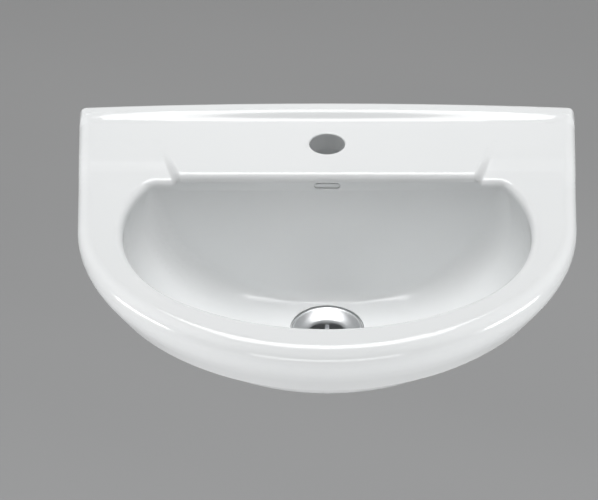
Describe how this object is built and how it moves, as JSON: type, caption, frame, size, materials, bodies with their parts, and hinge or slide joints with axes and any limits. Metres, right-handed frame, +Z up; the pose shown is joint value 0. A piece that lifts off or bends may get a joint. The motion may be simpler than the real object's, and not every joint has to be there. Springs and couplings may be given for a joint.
{
  "type": "wash basin",
  "caption": "Ceramic bathroom wash basin with a D-shaped bowl, raised tap deck, overflow, slotted metal waste and wall fixings, of the kind made to stand on a pedestal.",
  "frame": {"origin": "on the wall face, midway between the axes of the two wall fixings", "axes": "+X to the right seen from the front, +Y into the wall, +Z up; the bowl opens upwards and the front of the basin faces -Y"},
  "size_m": [0.4996, 0.4569, 0.21],
  "materials": {
    "glazed_vitreous": "white glossy glaze",
    "chrome_plate": "polished",
    "seal_rubber": "matt black",
    "white_nylon": "natural white",
    "grey_nylon": "grey, moulded",
    "brass_nut": "cast and faced",
    "zinc_steel": "bright zinc plated"
  },
  "bodies": {
    "root": {"basin": "glazed_vitreous", "waste_body": "chrome_plate", "waste_top_seal": "seal_rubber", "waste_lower_seal": "seal_rubber", "waste_friction_washer": "white_nylon", "waste_backnut": "brass_nut", "left_hanger_bolt": "zinc_steel", "left_wall_plug": "grey_nylon", "left_bush": "white_nylon", "left_washer": "zinc_steel", "left_nut": "zinc_steel", "right_hanger_bolt": "zinc_steel", "right_wall_plug": "grey_nylon", "right_bush": "white_nylon", "right_washer": "zinc_steel", "right_nut": "zinc_steel"}
  },
  "joints": []
}
